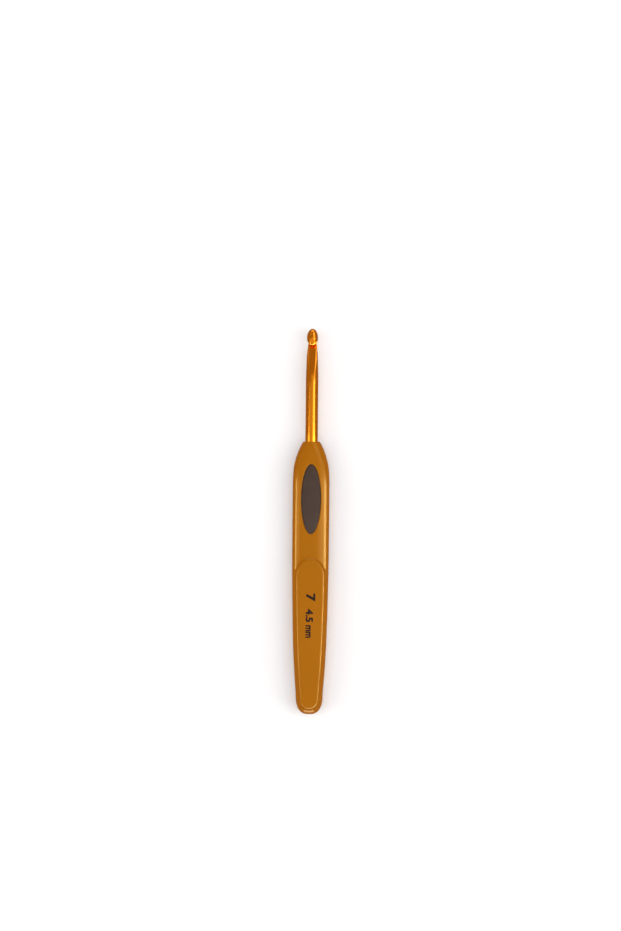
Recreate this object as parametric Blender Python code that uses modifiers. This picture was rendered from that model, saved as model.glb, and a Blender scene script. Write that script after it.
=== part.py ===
"""A crochet hook: an anodised rod with the hook formed in its end, a moulded handle
around its tang, and a rubber pad let into each face of the grip.

The length runs along Y with the hook at +Y, and the front face looks along +Z. The
origin is under the middle of the object, on the plane of the back label face. A distance
"from the tail" runs along Y from the handle's closed end.
"""

from bisect import bisect_right
from math import cos, pi, radians, sin, tan, tau

import bmesh
import bpy
from mathutils import Euler, Matrix, Vector
from mathutils.geometry import interpolate_bezier

MM = 0.001

# The whole object
LENGTH = 140 * MM
LABEL_HEIGHT = 4.9 * MM  # from the rod's axis to either flat label face

# The rod's turned outline: the neck as (from the tail, radius), then the egg of the head
SHANK_RADIUS = 2.25 * MM
SHANK_BOTTOM = 86.5 * MM
NECK = ((133.5, 1.82), (130.0, 1.99), (124.5, 2.17), (121.0, 2.25))  # in millimetres
HEAD_WIDEST = 136.6 * MM
HEAD_RADIUS = 1.98 * MM
TIP_BLUNTNESS = 1.1 * MM  # how far the outline starts out square to the axis
FLANK = (1.98 * MM, 138.5 * MM)  # what the outline bends towards, as (radius, from the tail)
HEAD_POINTS = 12
ROD_SIDES = 40

# The throat, as distances from the tail and heights above the axis in the rod's side view
THROAT_TURN = radians(5)  # how far the hook faces to the left of the handle's front
RAMP_START = 122.2 * MM
RAMP_SLOPE = radians(5)  # where the ramp leaves the shank
FLOOR_SLOPE = radians(20)  # where the ramp meets the round floor
FLOOR_CENTRE = (134.85 * MM, 0.15 * MM)
FLOOR_RADIUS = 0.75 * MM
LIP_ANGLE = radians(37)  # between the undercut wall and the axis
RAMP_POINTS = 10
FLOOR_POINTS = 9

# The tang, flattened inside the handle and notched on both edges
TANG_END = 62 * MM
TANG_TOP = 88 * MM
TANG_WIDTH = 5.6 * MM
TANG_THICKNESS = 2.8 * MM
TANG_CORNER = 0.8 * MM
NOTCHES = (68 * MM, 80 * MM)
NOTCH_RADIUS = 0.8 * MM
NOTCH_POINTS = 7
TANG_GAP = 0.15 * MM

# The handle's sections: from the tail, half width and half thickness in millimetres, then
# the squareness of the section, where 2 is an ellipse and more is a rounded rectangle
SECTIONS = (
    (7.5, 4.92, 4.35, 3.4),
    (16.0, 5.54, 4.48, 3.8),
    (26.0, 6.06, 4.55, 4.2),
    (36.0, 6.34, 4.55, 4.4),
    (46.4, 6.52, 4.48, 4.4),
    (51.0, 6.60, 4.38, 4.2),
    (57.5, 6.66, 4.14, 3.7),
    (70.0, 6.68, 4.20, 3.6),
    (84.0, 6.64, 4.24, 3.6),
    (88.2, 6.48, 4.15, 3.3),
    (91.1, 6.05, 4.00, 2.9),
    (94.4, 5.12, 3.75, 2.5),
    (97.6, 3.78, 3.30, 2.1),
    (99.0, 2.95, 2.95, 2.0),
)
TAIL_WIDTH_ROUNDNESS = 2.6  # of the tail's end in the front view
TAIL_DEPTH_ROUNDNESS = 3.0  # and in the side view
TAIL_RINGS = 8
TAIL_TIP = 0.2  # the share of a ring's step at which the end is closed
SECTION_RINGS = 31
SECTION_POINTS = 40

# The raised label faces: an arch towards the grip, and a round end towards the tail
ARCH_BASE = 50 * MM
ARCH_HEIGHT = 6.2 * MM
LABEL_SIDES = ((50.0, 4.9), (34.0, 4.6), (17.7, 4.0), (5.0, 3.1))  # from the tail, half width
LABEL_END = 2.3 * MM
LABEL_CHAMFER = 0.5 * MM
ARC_POINTS = 14

# The pads, with heights from the rod's axis
PAD_CENTRE = 78.1 * MM
PAD_WIDTH = 7.05 * MM
PAD_LENGTH = 25.1 * MM
PAD_BASE = 3.2 * MM
PAD_EDGE = 4.25 * MM
PAD_TOP = 4.7 * MM
PAD_GAP = 0.12 * MM
PAD_SIDES = 56
DOME_RINGS = 5

OVERCUT = 1.2 * MM  # how far a cutter passes through the surface that it opens
WELD = 0.00001


def clear_scene():
    for obj in list(bpy.data.objects):
        bpy.data.objects.remove(obj)


def new_collection(name, helpers=False):
    collection = bpy.data.collections.new(name)
    collection.hide_render = helpers
    bpy.context.scene.collection.children.link(collection)
    return collection


def new_material(name, colour, roughness, metallic=0.0):
    made = bpy.data.materials.new(name)
    made.use_nodes = True
    shader = made.node_tree.nodes["Principled BSDF"]
    shader.inputs["Base Color"].default_value = (*colour, 1)
    shader.inputs["Roughness"].default_value = roughness
    shader.inputs["Metallic"].default_value = metallic
    made.diffuse_color = (*colour, 1)
    return made


def place(name, mesh, collection, frame, look=None):
    """An object of this mesh, in the frame whose Y starts at the tail on the rod's axis."""
    obj = bpy.data.objects.new(name, mesh)
    obj.parent = frame
    collection.objects.link(obj)
    if look:
        mesh.materials.append(look)
    else:
        obj.hide_render = True
        obj.display_type = "WIRE"
    return obj


def finished(bm, name):
    """The mesh of this bmesh, with its faces turned outwards."""
    bmesh.ops.recalc_face_normals(bm, faces=bm.faces)
    mesh = bpy.data.meshes.new(name)
    bm.to_mesh(mesh)
    bm.free()
    return mesh


def boolean(obj, operation, other):
    modifier = obj.modifiers.new(other.name, "BOOLEAN")
    modifier.operation = operation
    modifier.solver = "EXACT"
    modifier.object = other


def smooth_edges(mesh, sharp=radians(35)):
    mesh.shade_smooth()
    mesh.set_sharp_from_angle(angle=sharp)


def signed_power(value, exponent):
    return abs(value) ** exponent * (1 if value >= 0 else -1)


def eased(stations, column, at):
    """A column's value between stations, on a smooth curve that never overshoots them."""
    places = [station[0] for station in stations]
    values = [station[column] for station in stations]
    gaps = [(places[i + 1] - places[i], values[i + 1] - values[i]) for i in range(len(places) - 1)]
    rises = [rise / run for run, rise in gaps]
    inner = [2 * a * b / (a + b) if a * b > 0 else 0 for a, b in zip(rises, rises[1:])]
    slopes = [rises[0], *inner, rises[-1]]
    i = min(max(bisect_right(places, at) - 1, 0), len(rises) - 1)
    run = gaps[i][0]
    t = (at - places[i]) / run
    blend = t * t * (3 - 2 * t)
    bend = run * t * (1 - t) * ((1 - t) * slopes[i] - t * slopes[i + 1])
    return values[i] + gaps[i][1] * blend + bend


def loft(name, loops):
    """A closed skin over loops that have the same number of points, with flat ends."""
    bm = bmesh.new()
    rings = [[bm.verts.new(point) for point in loop] for loop in loops]
    for low, high in zip(rings, rings[1:]):
        for i, vertex in enumerate(low):
            bm.faces.new((low[i - 1], vertex, high[i], high[i - 1]))
    bm.faces.new(rings[0])
    bm.faces.new(rings[-1])
    return finished(bm, name)


def turned(name, outline, sides, collection, frame, look):
    """A body turned about Z from (radius, height) points that run down its outer side."""
    mesh = bpy.data.meshes.new(name)
    edges = [(i, i + 1) for i in range(len(outline) - 1)]
    mesh.from_pydata([(radius, 0, height) for radius, height in outline], edges, [])
    obj = place(name, mesh, collection, frame, look)
    screw = obj.modifiers.new("turned", "SCREW")
    screw.axis = "Z"
    screw.steps = sides
    screw.render_steps = sides
    screw.use_merge_vertices = True
    screw.merge_threshold = WELD
    return obj


def flat_outline(name, points, thickness):
    """A mesh of this outline in the XY plane, filled and thickened about that plane."""
    curve = bpy.data.curves.new(name, "CURVE")
    curve.dimensions = "2D"
    curve.fill_mode = "BOTH"
    curve.extrude = thickness / 2
    spline = curve.splines.new("POLY")
    spline.points.add(len(points) - 1)
    for point, (x, y) in zip(spline.points, points):
        point.co = (x, y, 0, 1)
    spline.use_cyclic_u = True
    drawn = bpy.data.objects.new(name, curve)
    bpy.context.scene.collection.objects.link(drawn)
    graph = bpy.context.evaluated_depsgraph_get()
    mesh = bpy.data.meshes.new_from_object(drawn.evaluated_get(graph))
    bpy.data.objects.remove(drawn)
    bm = bmesh.new()
    bm.from_mesh(mesh)
    bmesh.ops.remove_doubles(bm, verts=bm.verts, dist=WELD)
    bpy.data.meshes.remove(mesh)
    return finished(bm, name)


def ellipse_cylinder(name, width, length, low, high, sides):
    """A cylinder along Z of elliptical section, centred on the axis."""
    bm = bmesh.new()
    bmesh.ops.create_cone(
        bm, cap_ends=True, segments=sides, radius1=0.5, radius2=0.5, depth=high - low
    )
    bmesh.ops.scale(bm, verts=bm.verts, vec=(width, length, 1))
    bmesh.ops.translate(bm, verts=bm.verts, vec=(0, 0, (low + high) / 2))
    return finished(bm, name)


def box(name, size, centre):
    bm = bmesh.new()
    bmesh.ops.create_cube(bm, size=1)
    bmesh.ops.scale(bm, verts=bm.verts, vec=size)
    bmesh.ops.translate(bm, verts=bm.verts, vec=centre)
    return finished(bm, name)


def arc(centre, radii, start, end, points):
    """Points on an elliptical arc, both ends included."""
    angles = [start + (end - start) * i / (points - 1) for i in range(points)]
    return [(centre[0] + radii[0] * cos(a), centre[1] + radii[1] * sin(a)) for a in angles]


def rod_outline():
    """(radius, from the tail) points from the tip down to the end inside the handle."""
    tip, widest = Vector((0, LENGTH)), Vector((HEAD_RADIUS, HEAD_WIDEST))
    blunt = Vector((TIP_BLUNTNESS, LENGTH))
    head = interpolate_bezier(tip, blunt, Vector(FLANK), widest, HEAD_POINTS)
    neck = [(radius * MM, distance * MM) for distance, radius in NECK]
    bottom = [(SHANK_RADIUS, SHANK_BOTTOM), (0, SHANK_BOTTOM)]
    return [tuple(point) for point in head] + neck + bottom


def throat_outline():
    """The throat in side view, as (from the tail, above the axis): a ramp that leaves the
    shank gently, a round floor, and a wall undercut towards the tip."""
    floor = arc(
        FLOOR_CENTRE,
        (FLOOR_RADIUS, FLOOR_RADIUS),
        -pi / 2 - FLOOR_SLOPE,
        pi / 2 - LIP_ANGLE,
        FLOOR_POINTS,
    )
    start = Vector((RAMP_START, SHANK_RADIUS))
    end = Vector(floor[0])
    reach = (end.x - start.x) / 3
    leave = start + Vector((reach, -reach * tan(RAMP_SLOPE)))
    arrive = end - Vector((reach, -reach * tan(FLOOR_SLOPE)))
    ramp = interpolate_bezier(start, leave, arrive, end, RAMP_POINTS)
    before = (RAMP_START - OVERCUT, SHANK_RADIUS + OVERCUT * tan(RAMP_SLOPE))
    top = SHANK_RADIUS + OVERCUT
    lip = (floor[-1][0] - (top - floor[-1][1]) / tan(LIP_ANGLE), top)
    return [before, *[tuple(point) for point in ramp[:-1]], *floor, lip, (before[0], top)]


def tang_outline():
    """The flattened end seen from the front, with a round notch in each edge."""
    half = TANG_WIDTH / 2
    side = [(half - TANG_CORNER, TANG_END), (half, TANG_END + TANG_CORNER)]
    for notch in NOTCHES:
        side += arc(
            (half, notch), (NOTCH_RADIUS, NOTCH_RADIUS), 3 * pi / 2, pi / 2, NOTCH_POINTS
        )
    side.append((half, TANG_TOP))
    return side + [(-x, y) for x, y in reversed(side)]


def make_rod(parts, cutters, frame):
    gold = new_material("anodised_gold", (0.72, 0.30, 0.015), 0.25, 1.0)
    rod = turned("hook_shaft", rod_outline(), ROD_SIDES, parts, frame, gold)
    rod.matrix_basis = Matrix.Rotation(-pi / 2, 4, "X")
    smooth_edges(rod.data)

    tang_shape = flat_outline("tang", tang_outline(), TANG_THICKNESS)
    tang = place("tang", tang_shape, cutters, frame)
    throat_shape = flat_outline("throat", throat_outline(), 4 * SHANK_RADIUS)
    throat = place("throat", throat_shape, cutters, frame)
    upright = Euler((pi / 2, 0, pi / 2)).to_matrix().to_4x4()
    throat.matrix_basis = Matrix.Rotation(-THROAT_TURN, 4, "Y") @ upright
    boolean(rod, "UNION", tang)
    boolean(rod, "DIFFERENCE", throat)


def section_loop(distance, half_width, half_depth, squareness):
    power = 2 / squareness
    angles = [tau * i / SECTION_POINTS for i in range(SECTION_POINTS)]
    return [
        (
            half_width * signed_power(cos(angle), power),
            distance,
            half_depth * signed_power(sin(angle), power),
        )
        for angle in angles
    ]


def handle_loops():
    """The tail's round end, then sections up to the nose."""
    first = SECTIONS[0]
    loops = []
    for i in range(TAIL_RINGS):
        back = cos(pi / 2 * (i + TAIL_TIP) / (TAIL_RINGS + TAIL_TIP))
        width = (1 - back**TAIL_WIDTH_ROUNDNESS) ** (1 / TAIL_WIDTH_ROUNDNESS)
        depth = (1 - back**TAIL_DEPTH_ROUNDNESS) ** (1 / TAIL_DEPTH_ROUNDNESS)
        loops.append(
            section_loop(
                first[0] * (1 - back) * MM, first[1] * width * MM, first[2] * depth * MM, first[3]
            )
        )
    nose = SECTIONS[-1][0]
    for i in range(SECTION_RINGS):
        at = first[0] + (nose - first[0]) * i / (SECTION_RINGS - 1)
        width, depth, squareness = (eased(SECTIONS, column, at) for column in (1, 2, 3))
        loops.append(section_loop(at * MM, width * MM, depth * MM, squareness))
    return loops


def label_loop(inset, height):
    """A label face's outline, drawn in by this inset, at a height from the axis."""
    sides = [(half * MM - inset, distance * MM) for distance, half in LABEL_SIDES]
    arch = arc((0, ARCH_BASE), (sides[0][0], ARCH_HEIGHT - inset), 0, pi, ARC_POINTS)
    half, base = sides[-1]
    end = arc((0, base), (half, base - LABEL_END - inset), pi, tau, ARC_POINTS)
    left = [(-x, y) for x, y in sides[1:-1]]
    right = sides[-2:0:-1]
    return [(x, y, height) for x, y in arch + left + end + right]


def make_handle(parts, cutters, frame):
    caramel = new_material("caramel_plastic", (0.42, 0.14, 0.008), 0.3)
    handle = place("handle_body", loft("handle_body", handle_loops()), parts, frame, caramel)
    smooth_edges(handle.data)

    wall_top = LABEL_HEIGHT - LABEL_CHAMFER
    levels = (
        (LABEL_CHAMFER, -LABEL_HEIGHT),
        (0, -wall_top),
        (0, wall_top),
        (LABEL_CHAMFER, LABEL_HEIGHT),
    )
    label_shape = loft("labels", [label_loop(inset, height) for inset, height in levels])
    boolean(handle, "UNION", place("labels", label_shape, cutters, frame))

    bore_start = SHANK_BOTTOM - TANG_GAP
    bore_end = SECTIONS[-1][0] * MM + OVERCUT
    bore_width = 2 * (SHANK_RADIUS + TANG_GAP)
    bore_shape = ellipse_cylinder("bore", bore_width, bore_width, bore_start, bore_end, ROD_SIDES)
    bore = place("bore", bore_shape, cutters, frame)
    bore.matrix_basis = Matrix.Rotation(-pi / 2, 4, "X")
    boolean(handle, "DIFFERENCE", bore)

    tang_size = (TANG_WIDTH, TANG_TOP - TANG_END, TANG_THICKNESS)
    slot_shape = box(
        "slot", [side + 2 * TANG_GAP for side in tang_size], (0, (TANG_TOP + TANG_END) / 2, 0)
    )
    boolean(handle, "DIFFERENCE", place("slot", slot_shape, cutters, frame))

    pocket_shape = ellipse_cylinder(
        "pocket",
        PAD_WIDTH + 2 * PAD_GAP,
        PAD_LENGTH + 2 * PAD_GAP,
        PAD_BASE - PAD_GAP,
        PAD_TOP + OVERCUT,
        PAD_SIDES,
    )
    for name, side in (("front_pocket", 1), ("back_pocket", -1)):
        pocket = place(name, pocket_shape, cutters, frame)
        pocket.matrix_basis = pad_place(side)
        boolean(handle, "DIFFERENCE", pocket)


def pad_place(side):
    """Where a pad or its pocket goes: side is 1 on the front and -1 on the back."""
    turn = Matrix.Rotation(0 if side > 0 else pi, 4, "Y")
    return Matrix.Translation((0, PAD_CENTRE, 0)) @ turn


def make_pads(parts, frame):
    rubber = new_material("dark_rubber", (0.06, 0.04, 0.035), 0.8)
    angles = [pi / 2 * i / DOME_RINGS for i in range(DOME_RINGS + 1)]
    half = PAD_LENGTH / 2
    dome = [(half * sin(a), PAD_EDGE + (PAD_TOP - PAD_EDGE) * cos(a)) for a in angles]
    outline = dome + [(half, PAD_BASE), (0, PAD_BASE)]
    stretch = Matrix.Diagonal((PAD_WIDTH / PAD_LENGTH, 1, 1, 1))
    for name, side in (("thumb_pad", 1), ("finger_pad", -1)):
        pad = turned(name, outline, PAD_SIDES, parts, frame, rubber)
        pad.matrix_basis = pad_place(side) @ stretch


def main():
    clear_scene()
    parts = new_collection("crochet_hook")
    cutters = new_collection("cutters", helpers=True)
    frame = bpy.data.objects.new("tail_on_axis", None)
    frame.location = (0, -LENGTH / 2, LABEL_HEIGHT)
    parts.objects.link(frame)
    make_rod(parts, cutters, frame)
    make_handle(parts, cutters, frame)
    make_pads(parts, frame)


main()
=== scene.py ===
"""A crochet hook with a soft-grip handle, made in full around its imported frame.

The frame gives the places: the rod's axis runs along Y with the hook at +Y, the front
face looks along +Z, and the object lies on its back label face. A distance "from the
tail" runs along Y from the handle's closed end.
"""

from math import cos, pi, radians, sin, tan, tau

import bmesh
import bpy
import numpy as np
from bpy.props import FloatProperty, FloatVectorProperty, PointerProperty
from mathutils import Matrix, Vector


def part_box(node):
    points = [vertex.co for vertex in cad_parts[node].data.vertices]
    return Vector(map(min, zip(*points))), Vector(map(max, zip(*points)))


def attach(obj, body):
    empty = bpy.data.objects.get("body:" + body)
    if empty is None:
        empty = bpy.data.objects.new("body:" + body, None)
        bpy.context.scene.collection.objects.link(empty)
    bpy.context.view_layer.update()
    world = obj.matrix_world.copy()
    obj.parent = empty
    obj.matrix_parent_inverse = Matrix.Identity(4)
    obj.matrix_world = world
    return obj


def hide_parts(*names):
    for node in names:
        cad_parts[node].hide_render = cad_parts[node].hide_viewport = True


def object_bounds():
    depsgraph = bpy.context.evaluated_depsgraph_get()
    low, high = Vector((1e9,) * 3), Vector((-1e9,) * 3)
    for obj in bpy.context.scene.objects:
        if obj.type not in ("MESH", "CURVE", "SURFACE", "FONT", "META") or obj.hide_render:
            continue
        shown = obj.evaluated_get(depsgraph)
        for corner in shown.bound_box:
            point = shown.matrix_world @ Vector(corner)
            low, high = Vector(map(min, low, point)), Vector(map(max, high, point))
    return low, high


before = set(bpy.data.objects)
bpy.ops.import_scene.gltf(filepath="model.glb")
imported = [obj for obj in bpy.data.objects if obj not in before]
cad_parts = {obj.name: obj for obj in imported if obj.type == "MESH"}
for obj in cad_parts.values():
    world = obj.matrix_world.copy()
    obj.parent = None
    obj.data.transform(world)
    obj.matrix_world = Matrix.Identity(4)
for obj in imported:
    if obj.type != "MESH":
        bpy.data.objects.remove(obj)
CAD_LOW, CAD_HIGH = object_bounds()

bl_info = {
    "name": "Crochet Hook",
    "version": (1, 0, 0),
    "blender": (4, 5, 0),
    "location": "3D View > Sidebar > Crochet Hook",
    "description": "Makes a crochet hook with an anodised rod, a moulded handle and rubber rests",
    "category": "Object",
}

MM = 0.001
BODY = "root"
QUARTER_TURN = np.linspace(0, pi / 2, 5)

# Places and sizes that the frame gives
ROD_LOW, ROD_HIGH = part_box("hook_shaft")
HANDLE_LOW, HANDLE_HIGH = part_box("handle_body")
PAD_LOW, PAD_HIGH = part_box("thumb_pad")
TAIL = HANDLE_LOW.y
TIP = (ROD_HIGH.y - TAIL) / MM  # millimetres from the tail, as are those that follow
NOSE = (HANDLE_HIGH.y - TAIL) / MM
AXIS = (ROD_LOW.z + ROD_HIGH.z) / 2
SHANK_RADIUS = (ROD_HIGH.z - ROD_LOW.z) / 2 / MM
LABEL_HEIGHT = (HANDLE_HIGH.z - AXIS) / MM
TANG_HALF = (ROD_HIGH.x - ROD_LOW.x) / 2 / MM
TANG_END = (ROD_LOW.y - TAIL) / MM
PAD_CENTRE = ((PAD_LOW.y + PAD_HIGH.y) / 2 - TAIL) / MM
PAD_HALF = (PAD_HIGH.x - PAD_LOW.x) / 2 / MM, (PAD_HIGH.y - PAD_LOW.y) / 2 / MM
PAD_BASE = (PAD_LOW.z - AXIS) / MM
PAD_TOP = (PAD_HIGH.z - AXIS) / MM

# The rod's turned outline: the neck as (from the tail, radius), then the control points
# of the head's crown as (radius, from the tail), up to the tip on the axis
NECK = (
    (121.0, SHANK_RADIUS),
    (124.5, 2.17),
    (130.0, 1.99),
    (133.5, 1.82),
    (136.6, 1.98),
    (137.0, 1.98),
)
HEAD = ((1.98, 136.6), (1.98, 138.5), (1.1, TIP), (0, TIP))
HEAD_STEPS = 400
FLOOR_CENTRE = (134.85, 0.15)  # of the throat's round floor: from the tail, above the axis
FINE_EDGE = 0.25  # rounding where the ramp begins
LIP_REACH = 2.1  # how far past the floor planes look for the lip
TURN_BLEND = (95, 110)  # where the rod's columns turn to follow the throat
TANG_DEPTH = 1.4
TANG_SQUARE = 6
TANG_EDGE = 0.4  # how far the tang's end is rounded over
TANG_GAP = 0.15
TANG_BLEND = (86.3, 88.3)  # where the flat tang becomes the round shank
NOTCHES = (68, 80)
NOTCH_RADIUS = 0.8
SHANK_START = 89.5

# How finely the rod is divided, and how its surface is found
ROD_COLUMNS = 128
TANG_ROWS = np.arange(63, 88.6, 0.25)  # from the tail
SHANK_ROWS = 34
RAMP_ROWS = 70
FLOOR_ROWS = 44
LIP_ROWS = 40
BISECTIONS = 40
DEEPEST = 6.0
DEPTH_STEPS = 600
LEAST_DEPTH = 0.012
LONGEST_RAY = 3.0  # against the half widths that the rays are set out with
WIDENED_BY = 0.8  # the share of the ramp that its edges take to reach their full rounding

# The handle's sections: from the tail, half width, half depth and squareness, where 2 is
# an ellipse and more is a rounded rectangle
SECTIONS = (
    (7.5, 4.92, 4.35, 3.4),
    (16.0, 5.54, 4.48, 3.8),
    (26.0, 6.06, 4.55, 4.2),
    (36.0, 6.34, 4.55, 4.4),
    (46.4, 6.52, 4.48, 4.4),
    (51.0, 6.60, 4.38, 4.2),
    (57.5, 6.66, 4.14, 3.7),
    (70.0, 6.68, 4.20, 3.6),
    (84.0, 6.64, 4.24, 3.6),
    (88.2, 6.48, 4.15, 3.3),
    (91.1, 6.05, 4.00, 2.9),
    (94.4, 5.12, 3.75, 2.5),
    (97.6, 3.78, 3.30, 2.1),
    (NOSE, 2.95, 2.95, 2.0),
)
TAIL_WIDTH_ROUNDNESS = 2.6
TAIL_DEPTH_ROUNDNESS = 3.0
TAIL_TIP = 0.2  # the share of a row's step at which the tail is closed
NOSE_EDGE = 0.22
MOUTH_EDGE = 0.12
BORE_ROWS = (97.5, 95.0, 92.0)  # from the tail
BLEND_ROWS = 8
HANDLE_COLUMNS = 208
HANDLE_ROWS = 390
TAIL_ROWS = 26

# The raised label faces: an arch towards the grip, and a round end towards the tail
ARCH_BASE = 50.0
ARCH_HEIGHT = 6.2
LABEL_SIDES = ((50.0, 4.9), (34.0, 4.6), (17.7, 4.0), (5.0, 3.1))  # from the tail, half width
LABEL_END = 2.3  # where the round end stops, from the tail
LABEL_CHAMFER = 0.5
LABEL_SHOULDER = 1.6  # more than 1 makes the slope's shoulder rounder than its foot
LEAST_SHARE, LEAST_STEEPNESS = 0.2, 0.02  # these keep the middle of a round end in bounds

# The rests and their pockets
RIM = 0.15
REST_EDGE = 0.18
REST_FULLNESS = 0.6
REST_COLUMNS = 160
REST_ROWS = 24

# The size mark: text, from the tail, across, letter height and length along the handle
MARK = (
    ("7", 44.0, -1.55, 3.45, 2.9),
    ("4.5", 38.4, -1.55, 2.7, 4.8),
    ("mm", 32.5, -1.55, 1.9, 4.6),
)
INK_DEPTH = 0.02 * MM
BOLD = 0.040  # how far a stroke grows on each side, against the font size

SHARP = radians(50)  # faces that meet more steeply than this keep a crisp edge

# Shader constants
ANODISED = {"Metallic": 0.93, "Coat Weight": 0.5, "Coat Roughness": 0.08, "Coat IOR": 1.5}
PLASTIC = {"IOR": 1.47, "Specular Tint": (1.0, 0.80, 0.27, 1.0)}
RUBBER = {"IOR": 1.5, "Specular IOR Level": 0.2}
INK = {"IOR": 1.3, "Specular IOR Level": 0.2}

# The stage, in metres. A light is a name, its tilt from overhead and its turn from +X in
# degrees, its distance, size and shift along Y, its radiance, what it shows up in, and its
# colour
BOTH, GLOSS, MATT = "BOTH", "GLOSS", "MATT"
FLOOR_SIZE = 1.6
COVE_BEND = 0.7
COVE_WALL = 0.9
FLOOR_RINGS = (0.3, 0.8, 1.3)
COVE_STEPS = 24
COVE_SIDES = 96
LENS = 135  # this and the sensor are in millimetres
SENSOR = 36
FRAME_UP = 0.0203  # from the hook's middle to the view's
FRAME_RIGHT = -0.0001
ROOM = (0.38, 0.245, 0.115)
WHITE = (1, 1, 1)
COOL = (0.745, 1.05, 1.39)
AMBER = (1.0, 0.85, 0.35)
LIGHTS = (
    ("right_box", 39, 0, 1.0, (0.68, 0.11), 0.055, 2.2, GLOSS, WHITE),
    ("right_near", 49, 0, 1.0, (0.92, 0.64), -0.36, 0.9, BOTH, WHITE),
    ("right_end", 42, 0, 1.0, (0.70, 0.40), 0.30, 0.8, GLOSS, WHITE),
    ("right_strip", 52, 0, 0.25, (0.125, 0.123), -0.0335, 13.0, GLOSS, WHITE),
    ("right_haze", 22, 0, 0.25, (0.119, 0.123), -0.0335, 2.2, GLOSS, WHITE),
    ("left_box", 38, 180, 1.1, (0.70, 0.75), -0.30, 0.5, BOTH, WHITE),
    ("left_strip", 58, 180, 0.25, (0.067, 0.123), -0.0335, 13.0, GLOSS, WHITE),
    ("left_haze", 34, 180, 0.25, (0.075, 0.123), -0.0335, 2.0, GLOSS, WHITE),
    ("far_right", 50, 50, 1.1, (0.75, 0.60), 0, 1.3, GLOSS, WHITE),
    ("near_right", 50, -50, 1.1, (0.85, 0.60), 0, 11.0, GLOSS, WHITE),
    ("far_left", 52, 135, 1.1, (0.45, 0.45), 0, 0.4, GLOSS, WHITE),
    ("near_left", 52, -135, 1.1, (0.60, 0.45), 0, 7.0, GLOSS, WHITE),
    ("near_box", 72, -90, 1.1, (0.9, 0.6), 0, 8.0, GLOSS, WHITE),
    ("far_box", 74, 90, 1.3, (0.5, 1.0), 0, 1.8, GLOSS, WHITE),
    ("overhead", 0, 0, 1.5, (0.7, 0.7), 0, 0.42, BOTH, AMBER),
    ("right_fill", 49, 0, 1.1, (0.92, 0.9), 0, 1.5, MATT, WHITE),
    ("left_fill", 55, 180, 1.2, (0.9, 1.2), 0, 1.4, MATT, WHITE),
    ("top_fill", 0, 0, 1.6, (1.6, 1.6), 0, 1.5, MATT, COOL),
)


# ---------------------------------------------------------------- curves and skins


def eased(stations, at, column=1):
    """A column's values between stations, on a smooth curve that never overshoots them."""
    places = np.array([station[0] for station in stations], float)
    values = np.array([station[column] for station in stations], float)
    runs, rises = np.diff(places), np.diff(values)
    grades = rises / runs
    both = grades[:-1] * grades[1:]
    mean = np.where(both > 0, 2 * both / np.where(both > 0, grades[:-1] + grades[1:], 1), 0)
    slopes = np.concatenate([grades[:1], mean, grades[-1:]])
    at = np.asarray(at, float)
    i = np.clip(np.searchsorted(places, at, side="right") - 1, 0, len(runs) - 1)
    t = np.clip((at - places[i]) / runs[i], 0, 1)
    bend = runs[i] * t * (1 - t) * ((1 - t) * slopes[i] - t * slopes[i + 1])
    return values[i] + rises[i] * t * t * (3 - 2 * t) + bend


def bezier(points, steps):
    """Points on a cubic curve."""
    a, b, c, d = (np.array(point, float) for point in points)
    t = np.linspace(0, 1, steps)[:, None]
    return a * (1 - t) ** 3 + 3 * b * t * (1 - t) ** 2 + 3 * c * t * t * (1 - t) + d * t**3


def smooth_step(value, low, high):
    t = np.clip((value - low) / (high - low), 0, 1)
    return t * t * (3 - 2 * t)


def rounded_max(a, b, blend):
    """The larger of two distances, with the corner between them rounded over."""
    return np.maximum(a, b) + np.maximum(blend - abs(a - b), 0) ** 2 / (4 * blend)


def polar(angles, half_width, half_depth, squareness):
    """Points round a section that runs from an ellipse, 2, towards a rectangle."""
    c, s = np.cos(angles), np.sin(angles)
    reach = (abs(c) ** squareness + abs(s) ** squareness) ** (-1 / squareness)
    return half_width * reach * c, half_depth * reach * s


class Skin:
    """Points in millimetres, as (across, from the tail, above the axis), and their faces."""

    def __init__(self):
        self.points = np.zeros((0, 3))
        self.faces = []

    def add(self, points):
        """Takes in points and returns their numbers, in the same arrangement."""
        points = np.asarray(points, float)
        start = len(self.points)
        self.points = np.concatenate([self.points, points.reshape(-1, 3)])
        return np.arange(start, len(self.points)).reshape(points.shape[:-1])

    def rows(self, rows, left_out=None):
        """Closed bands of faces between rows, but for those that a mask leaves out."""
        low, high = rows[:-1], rows[1:]
        turned_low, turned_high = np.roll(low, -1, axis=1), np.roll(high, -1, axis=1)
        faces = np.stack([low, turned_low, turned_high, high], axis=-1)
        kept = faces.reshape(-1, 4) if left_out is None else faces[~left_out]
        self.faces.extend(kept.tolist())

    def fan(self, loop, centre):
        """Faces from a loop to one point."""
        middle = int(self.add(centre))
        for i, number in enumerate(loop):
            self.faces.append((int(loop[i - 1]), int(number), middle))

    def piece(self, name, look, slot, node):
        """The finished object, standing for its solid in the frame."""
        mesh = bpy.data.meshes.new(name)
        places = (self.points + (0, TAIL / MM, AXIS / MM)) * MM
        mesh.from_pydata(places.tolist(), [], self.faces)
        bm = bmesh.new()
        bm.from_mesh(mesh)
        bmesh.ops.recalc_face_normals(bm, faces=bm.faces)
        bm.to_mesh(mesh)
        bm.free()
        mesh.shade_smooth()
        mesh.set_sharp_from_angle(angle=SHARP)
        return shown(bpy.data.objects.new(name, mesh), look, slot, node)


def shown(obj, look, slot, *nodes):
    """Links a piece of the hook, gives it its material, and hides the frame's parts that it stands
    in for.
    """
    bpy.context.scene.collection.objects.link(obj)
    obj.data.materials.append(look)
    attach(obj, BODY)
    if nodes:
        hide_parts(*nodes)
    return obj


# ---------------------------------------------------------------- materials


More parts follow.
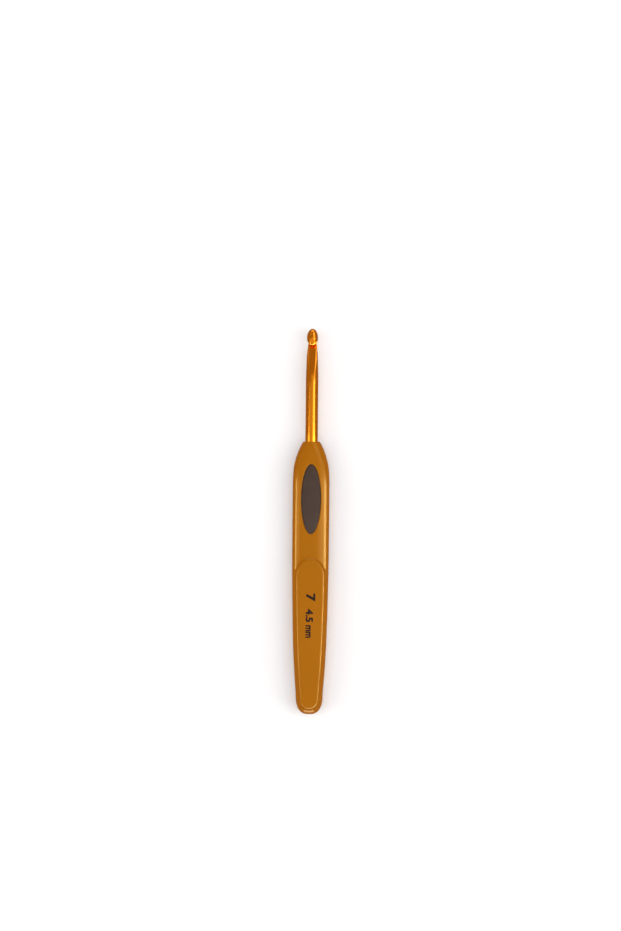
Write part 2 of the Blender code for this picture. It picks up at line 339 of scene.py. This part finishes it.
class Value:
    """A socket that takes part in Python's arithmetic by adding Math nodes."""

    def __init__(self, look, socket):
        self.look = look
        self.socket = socket

    def maths(self, operation, *values):
        sockets = dict(enumerate(values))
        return self.look.node("ShaderNodeMath", {"operation": operation}, sockets, "Value")

    def __add__(self, other):
        return self.maths("ADD", self, other)

    def __sub__(self, other):
        return self.maths("SUBTRACT", self, other)

    def __rsub__(self, other):
        return self.maths("SUBTRACT", other, self)

    def __mul__(self, other):
        return self.maths("MULTIPLY", self, other)

    __radd__ = __add__
    __rmul__ = __mul__

    def between(self, low, high):
        """0 below low, 1 above high, and a smooth step between."""
        sockets = {"Value": self, "From Min": low, "From Max": high}
        settings = {"interpolation_type": "SMOOTHSTEP"}
        return self.look.node("ShaderNodeMapRange", settings, sockets, "Result")


class Look:
    """A material: its shader, and the nodes added before it."""

    def __init__(self, name, colour, constants):
        self.material = bpy.data.materials.new(name)
        self.material.use_nodes = True
        self.tree = self.material.node_tree
        self.shader = self.tree.nodes["Principled BSDF"]
        self.shader.inputs["Base Color"].default_value = (*colour, 1)
        for socket, value in constants.items():
            self.shader.inputs[socket].default_value = value
        self.place = self.node("ShaderNodeTexCoord", {}, {}, "Object")

    def put(self, socket, value):
        if isinstance(value, Value):
            self.tree.links.new(value.socket, socket)
        else:
            socket.default_value = value

    def node(self, kind, settings, sockets, output):
        """Adds a node with these settings and inputs, and returns one of its outputs."""
        made = self.tree.nodes.new(kind)
        for setting, value in settings.items():
            setattr(made, setting, value)
        for socket, value in sockets.items():
            self.put(made.inputs[socket], value)
        return Value(self, made.outputs[output])

    def feed(self, **values):
        for socket, value in values.items():
            self.put(self.shader.inputs[socket.replace("_", " ")], value)

    def noise(self, scale, detail=2.0, roughness=0.5, stretch=(1, 1, 1)):
        """Noise from 0 to 1 with about this many lumps per metre, along each axis."""
        scaled = self.node(
            "ShaderNodeVectorMath",
            {"operation": "MULTIPLY"},
            {0: self.place, 1: Vector(stretch) * scale},
            "Vector",
        )
        sockets = {"Vector": scaled, "Scale": 1.0, "Detail": detail, "Roughness": roughness}
        return self.node("ShaderNodeTexNoise", {}, sockets, "Fac")

    def mix(self, factor, one, other):
        """A colour between two, given as linear red, green and blue."""
        sockets = {"Factor": factor, 6: (*one, 1), 7: (*other, 1)}
        return self.node("ShaderNodeMix", {"data_type": "RGBA"}, sockets, 2)

    def bump(self, height, depth):
        """Normals of a relief this deep, in metres."""
        sockets = {"Height": height, "Distance": depth, "Strength": 1.0}
        self.feed(Normal=self.node("ShaderNodeBump", {}, sockets, "Normal"))


def shade(colour, by):
    return tuple(part * by for part in colour)


def anodised_look(colour):
    """Polished and dyed aluminium: drawn lines along the rod and a clear sealed surface."""
    look = Look("anodised_aluminium", colour, ANODISED)
    lines = look.noise(5200, detail=3.0, stretch=(1, 0.012, 1))
    cloud = look.noise(160, detail=3.0)
    pits = look.noise(9000).between(0.70, 0.78)
    look.feed(
        Base_Color=look.mix(cloud * 0.7 + lines * 0.3, shade(colour, 0.93), shade(colour, 1.06)),
        Roughness=0.09 + 0.04 * lines + 0.02 * cloud + 0.1 * pits,
    )
    look.bump(lines - 0.5 * pits, 0.0000006)
    return look.material


def plastic_look(colour):
    """Glossy moulded plastic: faint flow clouds, a skin of tiny ripples, and fine dust."""
    look = Look("caramel_plastic", colour, PLASTIC)
    flow = look.noise(90, detail=4.0, stretch=(1, 0.35, 1))
    ripple = look.noise(1500)
    grain = look.noise(9000, detail=1.0)
    look.feed(
        Base_Color=look.mix(flow, shade(colour, 0.93), shade(colour, 1.07)),
        Roughness=0.16 + 0.05 * flow + 0.04 * grain,
    )
    look.bump(ripple + 0.15 * grain, 0.0000030)
    return look.material


def rubber_look(colour):
    """Matt rubber with a fine spark-eroded grain, its colour a little paler on the tops of the
    grain and darker in its hollows: painted light and shade that follows the bump, with some random
    cloud tone.
    """
    look = Look("dark_rubber", colour, RUBBER)
    grain = look.noise(5200, detail=3.0, roughness=0.6)
    cloud = look.noise(240, detail=3.0)
    # Painted light and shade: paler where the grain's bump rises and darker in its hollows, mixed
    # with a little random cloud tone
    grain_light_and_shade = (grain * 0.8 + cloud * 0.2).between(0.35, 0.7)
    look.feed(
        Base_Color=look.mix(grain_light_and_shade, shade(colour, 0.82), shade(colour, 1.18)),
        Roughness=0.62 + 0.2 * grain,
    )
    look.bump(grain, 0.00003)
    return look.material


def ink_look(colour):
    """Pad-printed ink, thin enough in places for the plastic to warm it."""
    look = Look("dark_ink", colour, INK)
    cover = look.noise(3800, detail=3.0).between(0.28, 0.62)
    look.feed(
        Base_Color=look.mix(cover, shade(colour, 1.6), colour), Roughness=0.5 + 0.12 * cover
    )
    look.bump(cover, 0.000004)
    return look.material


# ---------------------------------------------------------------- the rod


def rod_radius(distance):
    """The turned outline's radius at a distance from the tail, and less than 0 past the tip."""
    head = bezier(HEAD, HEAD_STEPS)
    body = eased(NECK, distance)
    crown = np.interp(distance, head[:, 1], head[:, 0])
    inside = np.where(distance < HEAD[0][1], body, crown)
    return np.where(distance > TIP, TIP - distance, inside)


def first_outside(outside, furthest):
    """How far along each ray the surface lies: outside() gives more than 0 beyond it."""
    low, high = np.zeros_like(furthest), furthest.copy()
    for _ in range(BISECTIONS):
        middle = (low + high) / 2
        beyond = outside(middle) > 0
        low, high = np.where(beyond, low, middle), np.where(beyond, middle, high)
    return (low + high) / 2


def cut_loop(start, into, blend, angles):
    """The loop where a plane cuts the hook. The plane holds the X axis and a line that goes
    into the metal from a point of the throat, and the edges there are rounded over."""

    def outside(across, deep):
        along, up = start[0] + into[0] * deep, start[1] + into[1] * deep
        return rounded_max(-deep, np.hypot(across, up) - rod_radius(along), blend)

    deep = np.linspace(0, DEEPEST, DEPTH_STEPS)
    found = outside(0, deep)
    middle = deep[int(np.argmin(found))]
    if found.min() > -LEAST_DEPTH:
        return None
    reach = np.full(len(angles), DEEPEST)
    side = first_outside(lambda ray: outside(ray, middle), reach)[0]
    down = first_outside(lambda ray: outside(0, middle + ray), reach)[0]
    rays = side * np.cos(angles), -np.where(np.sin(angles) > 0, middle, down) * np.sin(angles)
    reach = first_outside(
        lambda ray: outside(rays[0] * ray, middle + rays[1] * ray),
        np.full(len(angles), LONGEST_RAY),
    )
    deep = middle + rays[1] * reach
    return np.stack(
        [rays[0] * reach, start[0] + into[0] * deep, start[1] + into[1] * deep], axis=-1
    )


def throat_planes(sizes):
    """(point, direction, rounding) of each plane from the ramp's start round to the lip."""
    start_slope, floor_slope = sizes.ramp_slope, sizes.floor_slope
    radius, edge, lip = (value / MM for value in (sizes.floor_radius, sizes.edge, sizes.lip))
    turn = np.linspace(-pi / 2 - floor_slope, pi / 2 - sizes.lip_angle, FLOOR_ROWS)
    out = np.stack([np.cos(turn), np.sin(turn)], axis=-1)
    floor = np.array(FLOOR_CENTRE) + radius * out

    start, end = np.array((sizes.ramp_start / MM, SHANK_RADIUS)), floor[0]
    third = (end[0] - start[0]) / 3
    leave = start + (third, -third * tan(start_slope))
    arrive = end - (third, -third * tan(floor_slope))
    ramp = bezier((start, leave, arrive, end), RAMP_ROWS)
    grade = np.gradient(ramp, axis=0)
    grade /= np.linalg.norm(grade, axis=1)[:, None]
    down = np.stack([grade[:, 1], -grade[:, 0]], axis=-1)
    widening = smooth_step(np.linspace(0, 1, RAMP_ROWS), 0, WIDENED_BY)
    planes = list(zip(ramp, down, FINE_EDGE + (edge - FINE_EDGE) * widening))[:-1]
    closing = smooth_step(turn, *turn[[0, -1]])
    planes += list(zip(floor, out, edge + (lip - edge) * closing))

    wall = np.array((-out[-1][1], out[-1][0]))
    lengths = LIP_REACH * np.sin(np.linspace(0, pi / 2, LIP_ROWS + 1))[1:]
    return planes + [(floor[-1] + wall * length, out[-1], lip) for length in lengths]


def tang_sections():
    """(from the tail, half width, half depth, squareness) up to the round shank."""
    ends = TANG_END + TANG_EDGE * np.array((0, 0.15, 0.5, 1))
    places = np.concatenate([ends, TANG_ROWS])
    rounded = TANG_EDGE * (1 - np.sqrt(np.clip((places - TANG_END) / TANG_EDGE, 0, 1)))
    width = TANG_HALF - rounded
    depth = TANG_DEPTH - rounded
    for notch in NOTCHES:
        width -= np.sqrt(np.maximum(NOTCH_RADIUS**2 - (places - notch) ** 2, 0))
    rounding = smooth_step(places, *TANG_BLEND)
    width += (SHANK_RADIUS - width) * rounding
    depth += (SHANK_RADIUS - depth) * rounding
    return np.stack([places, width, depth, TANG_SQUARE + (2 - TANG_SQUARE) * rounding], axis=-1)


def rod_skin(sizes):
    angles = np.arange(ROD_COLUMNS) * tau / ROD_COLUMNS
    loops = []
    for place, width, depth, squareness in tang_sections():
        x, z = polar(angles, width, depth, squareness)
        loops.append(np.stack([x, np.full(ROD_COLUMNS, place), z], axis=-1))
    for place in np.linspace(SHANK_START, sizes.ramp_start / MM - 1, SHANK_ROWS):
        x, z = polar(angles, SHANK_RADIUS, SHANK_RADIUS, 2)
        loops.append(np.stack([x, np.full(ROD_COLUMNS, place), z], axis=-1))
    for plane in throat_planes(sizes):
        loop = cut_loop(*plane, angles)
        if loop is not None:
            loops.append(loop)

    points = np.array(loops)
    turn = sizes.throat_turn * smooth_step(points[..., 1], *TURN_BLEND)
    x, z = points[..., 0].copy(), points[..., 2].copy()
    points[..., 0] = x * np.cos(turn) - z * np.sin(turn)
    points[..., 2] = x * np.sin(turn) + z * np.cos(turn)
    skin = Skin()
    rows = skin.add(points)
    skin.rows(rows)
    skin.fan(rows[0], points[0].mean(axis=0))
    skin.fan(rows[-1], points[-1].mean(axis=0))
    return skin


# ---------------------------------------------------------------- the handle


def handle_section(distance):
    """Half width, half depth and squareness of the grip's section at each distance."""
    first = SECTIONS[0]
    width, depth, squareness = (eased(SECTIONS, distance, column) for column in (1, 2, 3))
    back = np.clip(1 - distance / first[0], 0, 1)
    wide = (1 - back**TAIL_WIDTH_ROUNDNESS) ** (1 / TAIL_WIDTH_ROUNDNESS)
    deep = (1 - back**TAIL_DEPTH_ROUNDNESS) ** (1 / TAIL_DEPTH_ROUNDNESS)
    return width * wide, depth * deep, squareness


def handle_height(across, distance):
    """How far the grip's face lies from the axis, without the raised label face."""
    width, depth, squareness = handle_section(distance)
    left = np.clip(1 - abs(across / width) ** squareness, 0, 1)
    return depth * left ** (1 / squareness)


def inside_label(across, distance):
    """How far inside the label's outline a point lies, and less than 0 outside it."""
    sides = np.interp(distance, *np.array(LABEL_SIDES[::-1]).T)
    found = sides - abs(across)
    arch = (ARCH_BASE, LABEL_SIDES[0][1], ARCH_HEIGHT, 1)
    end = (LABEL_SIDES[-1][0], LABEL_SIDES[-1][1], LABEL_SIDES[-1][0] - LABEL_END, -1)
    for base, half, length, way in (arch, end):
        past = way * (distance - base)
        share = np.maximum(np.hypot(across / half, past / length), LEAST_SHARE)
        steepness = np.hypot(across / half**2, past / length**2)
        steepness = np.maximum(steepness, LEAST_STEEPNESS) / share
        found = np.where(past > 0, (1 - share) / steepness, found)
    return found


def raised(across, distance, height, sizes):
    """The face's height with the label face on it, which meets the grip in a soft hollow."""
    inner, width = LABEL_CHAMFER, sizes.label_edge / MM
    down = smooth_step(inner - inside_label(across, distance), 0, width) ** LABEL_SHOULDER
    return height + (LABEL_HEIGHT - height) * (1 - down)


def handle_rows(sizes):
    """The outer skin's points, row by row from the tail to the nose."""
    angles = np.arange(HANDLE_COLUMNS) * tau / HANDLE_COLUMNS
    first, nose = SECTIONS[0][0], NOSE - NOSE_EDGE
    back = np.cos(pi / 2 * (np.arange(TAIL_ROWS) + TAIL_TIP) / (TAIL_ROWS + TAIL_TIP))
    places = np.concatenate([first * (1 - back), np.linspace(first, nose, HANDLE_ROWS)])
    width, depth, squareness = (value[:, None] for value in handle_section(places))
    x, z = polar(angles[None, :], width, depth, squareness)
    y = np.broadcast_to(places[:, None], x.shape)
    z = np.where(z >= 0, 1, -1) * raised(x, y, abs(z), sizes)
    return np.stack([x, y, z], axis=-1)


def handle_mouth():
    """Rows over the nose's edge, down the bore, and round the tang to the cavity's end."""
    angles = np.arange(HANDLE_COLUMNS) * tau / HANDLE_COLUMNS
    outer = SECTIONS[-1][1]
    bore = SHANK_RADIUS + TANG_GAP
    rows = []
    for bend in QUARTER_TURN[1:]:
        rows.append((NOSE - NOSE_EDGE * (1 - sin(bend)), outer - NOSE_EDGE * (1 - cos(bend))))
    for bend in QUARTER_TURN:
        rows.append((NOSE - MOUTH_EDGE * (1 - cos(bend)), bore + MOUTH_EDGE * (1 - sin(bend))))
    sections = [(place, radius, radius, 2) for place, radius in rows]
    for place in (*BORE_ROWS, TANG_BLEND[1]):
        sections.append((place, bore, bore, 2))
    for place in np.linspace(TANG_BLEND[1], TANG_BLEND[0], BLEND_ROWS)[1:]:
        round_share = float(smooth_step(place, *TANG_BLEND))
        half = TANG_HALF + (SHANK_RADIUS - TANG_HALF) * round_share + TANG_GAP
        depth = TANG_DEPTH + (SHANK_RADIUS - TANG_DEPTH) * round_share + TANG_GAP
        sections.append((place, half, depth, TANG_SQUARE + (2 - TANG_SQUARE) * round_share))
    sections.append((TANG_END - TANG_GAP, TANG_HALF + TANG_GAP, TANG_DEPTH + TANG_GAP, TANG_SQUARE))
    loops = []
    for place, half, depth, squareness in sections:
        x, z = polar(angles, half, depth, squareness)
        loops.append(np.stack([x, np.full(HANDLE_COLUMNS, place), z], axis=-1))
    return np.array(loops)


def pocket_share(x, y, halves):
    """0 at a pocket's middle and 1 on its elliptical rim."""
    return np.hypot(x / halves[0], (y - PAD_CENTRE) / halves[1])


def open_pocket(skin, rows, side, left_out, sizes):
    """Moves the skin's nearest points onto a pocket's rim, and lines the pocket."""
    groove = sizes.groove / MM
    outer = [half + groove + RIM for half in PAD_HALF]
    points = skin.points[rows]
    corners = [points[:-1], points[1:], np.roll(points, -1, axis=1)[:-1]]
    corners.append(np.roll(points, -1, axis=1)[1:])
    middle = sum(corners) / 4
    inside = (pocket_share(middle[..., 0], middle[..., 1], outer) < 1) & (middle[..., 2] * side > 0)
    left_out |= inside

    touched, kept = set(), set()
    for found, mask in ((touched, inside), (kept, ~inside)):
        at, column = np.nonzero(mask)
        after = (column + 1) % rows.shape[1]
        for i, j in ((at, column), (at + 1, column), (at, after), (at + 1, after)):
            found.update(rows[i, j].tolist())
    rim = np.array(sorted(touched & kept))
    x, y = skin.points[rim, 0], skin.points[rim, 1] - PAD_CENTRE
    turn = np.arctan2(y / outer[1], x / outer[0])
    order = np.argsort(turn)
    rim, turn = rim[order], turn[order]

    def ring(inset):
        halves = [half - inset for half in outer]
        return halves[0] * np.cos(turn), PAD_CENTRE + halves[1] * np.sin(turn)

    x, y = ring(0)
    grain_light_and_shade = handle_height(x, y)
    skin.points[rim] = np.stack([x, y, side * grain_light_and_shade], axis=-1)
    loops = [rim]
    for bend in QUARTER_TURN[1:]:
        x, y = ring(RIM * sin(bend))
        loops.append(skin.add(np.stack([x, y, side * (grain_light_and_shade - RIM * (1 - cos(bend)))], axis=-1)))
    x, y = ring(RIM)
    floor = np.full(len(rim), side * (PAD_BASE - groove))
    loops.append(skin.add(np.stack([x, y, floor], axis=-1)))
    skin.rows(np.array(loops))
    skin.fan(loops[-1], (0, PAD_CENTRE, side * (PAD_BASE - groove)))


def handle_skin(sizes):
    skin = Skin()
    rows = skin.add(handle_rows(sizes))
    left_out = np.zeros((rows.shape[0] - 1, rows.shape[1]), bool)
    for side in (1, -1):
        open_pocket(skin, rows, side, left_out, sizes)
    skin.rows(rows, left_out)
    mouth = skin.add(handle_mouth())
    skin.rows(np.concatenate([rows[-1:], mouth]))
    skin.fan(rows[0], (0, 0, 0))
    skin.fan(mouth[-1], (0, TANG_END - TANG_GAP, 0))
    return skin


# ---------------------------------------------------------------- the rests and the mark


def rest_skin(side, sizes):
    """An oval tablet with a rounded edge and a low dome, on the front or the back."""
    turn = np.arange(REST_COLUMNS) * tau / REST_COLUMNS
    dome = sizes.dome / MM
    edge = PAD_TOP - dome
    profile = [(REST_EDGE, PAD_BASE), (0, PAD_BASE + REST_EDGE)]
    for bend in QUARTER_TURN:
        profile.append((REST_EDGE * (1 - cos(bend)), edge - REST_EDGE * (1 - sin(bend))))
    loops = []
    for inset, height in profile:
        x, y = (PAD_HALF[0] - inset) * np.cos(turn), (PAD_HALF[1] - inset) * np.sin(turn)
        loops.append((x, y, np.full(REST_COLUMNS, height)))
    for share in np.cos(np.linspace(0, pi / 2, REST_ROWS + 1))[1:-1]:
        height = edge + dome * (1 - share**2) ** REST_FULLNESS
        loops.append((x * share, y * share, np.full(REST_COLUMNS, height)))
    points = [np.stack([x, y + PAD_CENTRE, side * z], axis=-1) for x, y, z in loops]
    skin = Skin()
    rows = skin.add(points)
    skin.rows(rows)
    skin.fan(rows[0], (0, PAD_CENTRE, side * PAD_BASE))
    skin.fan(rows[-1], (0, PAD_CENTRE, side * PAD_TOP))
    return skin


def letters(text, height, length):
    """A flat bold mesh of this text, with its first corner at 0, 0 and the given size."""
    curve = bpy.data.curves.new("letters", "FONT")
    curve.body = text
    curve.extrude = INK_DEPTH / 2
    curve.offset = BOLD
    curve.resolution_u = 8
    drawn = bpy.data.objects.new("letters", curve)
    bpy.context.scene.collection.objects.link(drawn)
    graph = bpy.context.evaluated_depsgraph_get()
    mesh = bpy.data.meshes.new_from_object(drawn.evaluated_get(graph))
    bpy.data.objects.remove(drawn)
    low = Vector(map(min, zip(*(v.co for v in mesh.vertices))))
    high = Vector(map(max, zip(*(v.co for v in mesh.vertices))))
    for vertex in mesh.vertices:
        share = [(vertex.co[i] - low[i]) / (high[i] - low[i]) for i in range(3)]
        vertex.co = (share[0] * length, share[1] * height, share[2] * INK_DEPTH)
    return mesh


def mark_mesh():
    """The size, read from the grip towards the tail with its letters' tops towards +X."""
    bm = bmesh.new()
    for text, start, base, height, length in MARK:
        mesh = letters(text, height * MM, length * MM)
        for vertex in mesh.vertices:
            x, y, z = vertex.co
            vertex.co = (base * MM + y, TAIL + start * MM - x, AXIS + LABEL_HEIGHT * MM + z)
        bm.from_mesh(mesh)
        bpy.data.meshes.remove(mesh)
    bmesh.ops.remove_doubles(bm, verts=bm.verts, dist=MM / 1000)
    bmesh.ops.recalc_face_normals(bm, faces=bm.faces)
    joined = bpy.data.meshes.new("size_mark")
    bm.to_mesh(joined)
    bm.free()
    return joined


# ---------------------------------------------------------------- the stage


def turned_cove():
    """A round floor that curves up into a low wall."""
    profile = [(radius, 0) for radius in FLOOR_RINGS]
    for bend in np.linspace(0, pi / 2, COVE_STEPS):
        profile.append((FLOOR_SIZE + COVE_BEND * sin(bend), COVE_BEND * (1 - cos(bend))))
    profile.append((FLOOR_SIZE + COVE_BEND, COVE_BEND + COVE_WALL))
    turns = [tau * i / COVE_SIDES for i in range(COVE_SIDES)]
    points, faces = [], []
    for radius, height in profile:
        points += [(radius * cos(turn), radius * sin(turn), height) for turn in turns]
    for i in range(COVE_SIDES):
        j = (i + 1) % COVE_SIDES
        faces.append((len(points), j, i))
        for low in range(0, len(points) - COVE_SIDES, COVE_SIDES):
            high = low + COVE_SIDES
            faces.append((low + i, low + j, high + j, high + i))
    mesh = bpy.data.meshes.new("floor")
    mesh.from_pydata([*points, (0, 0, 0)], [], faces)
    mesh.shade_smooth()
    return mesh


def make_floor(colour):
    look = Look("floor", colour, {"Roughness": 0.9, "Specular IOR Level": 0.1})
    look.feed(Base_Color=look.mix(look.noise(3.0), shade(colour, 0.99), colour))
    cove = bpy.data.objects.new("floor", turned_cove())
    cove.data.materials.append(look.material)
    bpy.context.scene.collection.objects.link(cove)
    cove.visible_glossy = False


def make_light(name, tilt, turn, distance, size, shift, radiance, seen_in, tint):
    """A soft box that faces the hook, tilted from overhead towards a turn from +X."""
    light = bpy.data.lights.new(name, "AREA")
    light.shape = "RECTANGLE"
    light.size, light.size_y = size
    light.energy = radiance * pi * size[0] * size[1]
    light.color = tint
    box = bpy.data.objects.new(name, light)
    tilt, turn = radians(tilt), radians(turn)
    way = Vector((sin(tilt) * cos(turn), sin(tilt) * sin(turn), cos(tilt)))
    box.location = way * distance + Vector((0, shift, 0))
    box.rotation_euler = (0, tilt, turn)
    box.visible_camera = False
    box.visible_glossy = seen_in != MATT
    box.visible_diffuse = seen_in != GLOSS
    bpy.context.scene.collection.objects.link(box)


def make_camera(sizes):
    data = bpy.data.cameras.new("camera")
    data.lens = LENS
    data.sensor_width = SENSOR
    camera = bpy.data.objects.new("camera", data)
    bpy.context.scene.collection.objects.link(camera)
    lean = sizes.lean
    up, right = Vector((-sin(lean), cos(lean), 0)), Vector((cos(lean), sin(lean), 0))
    middle = Vector((0, (CAD_LOW.y + CAD_HIGH.y) / 2, AXIS))
    distance = sizes.view_height * LENS / SENSOR
    camera.location = middle + up * FRAME_UP + right * FRAME_RIGHT + Vector((0, 0, distance))
    camera.rotation_euler = (0, 0, lean)
    bpy.context.scene.camera = camera


# ---------------------------------------------------------------- settings and operators


def length(name, description, default):
    return FloatProperty(name=name, description=description, default=default * MM, unit="LENGTH")


def angle(name, description, default):
    made = {"name": name, "description": description, "default": radians(default)}
    return FloatProperty(**made, subtype="ANGLE")


def colour(name, description, default):
    made = {"name": name, "description": description, "default": default}
    return FloatVectorProperty(**made, subtype="COLOR", size=3, min=0, max=1)


class HookSizes(bpy.types.PropertyGroup):
    """Sizes that the frame doesn't give"""

    throat_turn: angle("Throat turn", "How far the hook faces to the left of the front", 5)
    ramp_start: length("Ramp start", "Where the throat begins, from the tail", 122.2)
    ramp_slope: angle("Ramp slope", "Where the ramp leaves the shank", 5)
    floor_slope: angle("Floor slope", "Where the ramp meets the round floor", 20)
    floor_radius: length("Floor radius", "Radius of the throat's floor", 0.75)
    lip_angle: angle("Lip angle", "Between the undercut wall and the axis", 37)
    edge: length("Throat edge", "Rounding of the throat's edges", 0.8)
    lip: length("Lip edge", "Rounding of the lip", 0.3)
    label_edge: length("Label edge", "Width of the slope round a label face", 1.4)
    groove: length("Groove", "Gap round each rest", 0.12)
    dome: length("Dome", "How far a rest rises inside its edge", 0.45)
    lean: angle("Lean", "How far the camera is rolled", 0.55)
    view_height: length("View height", "What the picture's height takes in", 338.3)


class HookColours(bpy.types.PropertyGroup):
    """Colours of the hook and of the floor"""

    metal: colour("Metal", "Dyed aluminium", (0.80, 0.278, 0.0015))
    plastic: colour("Plastic", "Moulded handle", (0.352, 0.106, 0.0006))
    rubber: colour("Rubber", "Thumb and finger rests", (0.033, 0.0155, 0.008))
    ink: colour("Ink", "Printed size mark", (0.008, 0.003, 0.0006))
    floor: colour("Floor", "Paper under the hook", (0.93, 0.93, 0.93))


class MakeHookShaft(bpy.types.Operator):
    """Makes the anodised rod with its hook and its tang"""

    bl_idname = "crochet_hook.shaft"
    bl_label = "Make Shaft"

    def execute(self, context):
        skin = rod_skin(context.scene.hook_sizes)
        look = anodised_look(context.scene.hook_colours.metal)
        skin.piece("hook_rod", look, "anodised_rod", "hook_shaft")
        return {"FINISHED"}


class MakeHookHandle(bpy.types.Operator):
    """Makes the moulded handle with its two label faces and its two pockets"""

    bl_idname = "crochet_hook.handle"
    bl_label = "Make Handle"

    def execute(self, context):
        skin = handle_skin(context.scene.hook_sizes)
        look = plastic_look(context.scene.hook_colours.plastic)
        skin.piece("moulded_handle", look, "handle_plastic", "handle_body")
        return {"FINISHED"}


class MakeHookRests(bpy.types.Operator):
    """Makes the rubber rests for the thumb and the finger"""

    bl_idname = "crochet_hook.rests"
    bl_label = "Make Rests"

    def execute(self, context):
        look = rubber_look(context.scene.hook_colours.rubber)
        for name, node, side in (("thumb_rest", "thumb_pad", 1), ("finger_rest", "finger_pad", -1)):
            skin = rest_skin(side, context.scene.hook_sizes)
            skin.piece(name, look, "pad_rubber", node)
        return {"FINISHED"}


class MakeHookMark(bpy.types.Operator):
    """Makes the printed size on the front label face"""

    bl_idname = "crochet_hook.mark"
    bl_label = "Make Size Mark"

    def execute(self, context):
        look = ink_look(context.scene.hook_colours.ink)
        shown(bpy.data.objects.new("size_mark", mark_mesh()), look, "handle_plastic")
        return {"FINISHED"}


class MakeHookStage(bpy.types.Operator):
    """Makes the floor, the soft boxes, the dim room around them and the camera"""

    bl_idname = "crochet_hook.stage"
    bl_label = "Make Stage"

    def execute(self, context):
        scene = context.scene
        make_floor(scene.hook_colours.floor)
        for light in LIGHTS:
            make_light(*light)
        world = bpy.data.worlds.new("room")
        world.use_nodes = True
        world.node_tree.nodes["Background"].inputs["Color"].default_value = (*ROOM, 1)
        scene.world = world
        scene.view_settings.view_transform = "Standard"
        make_camera(scene.hook_sizes)
        return {"FINISHED"}


OPERATORS = (MakeHookShaft, MakeHookHandle, MakeHookRests, MakeHookMark, MakeHookStage)


class HookPanel(bpy.types.Panel):
    """Lists what makes the hook"""

    bl_idname = "VIEW3D_PT_crochet_hook"
    bl_label = "Crochet Hook"
    bl_space_type = "VIEW_3D"
    bl_region_type = "UI"
    bl_category = "Crochet Hook"

    def draw(self, context):
        for settings in (context.scene.hook_sizes, context.scene.hook_colours):
            for name in settings.__annotations__:
                self.layout.prop(settings, name)
        for operator in OPERATORS:
            self.layout.operator(operator.bl_idname)


CLASSES = (HookSizes, HookColours, *OPERATORS, HookPanel)


def register():
    for item in CLASSES:
        bpy.utils.register_class(item)
    bpy.types.Scene.hook_sizes = PointerProperty(type=HookSizes)
    bpy.types.Scene.hook_colours = PointerProperty(type=HookColours)


def unregister():
    del bpy.types.Scene.hook_colours
    del bpy.types.Scene.hook_sizes
    for item in reversed(CLASSES):
        bpy.utils.unregister_class(item)


def main():
    register()
    bpy.ops.crochet_hook.stage()
    bpy.ops.crochet_hook.shaft()
    bpy.ops.crochet_hook.handle()
    bpy.ops.crochet_hook.rests()
    bpy.ops.crochet_hook.mark()


if __name__ == "__main__":
    main()
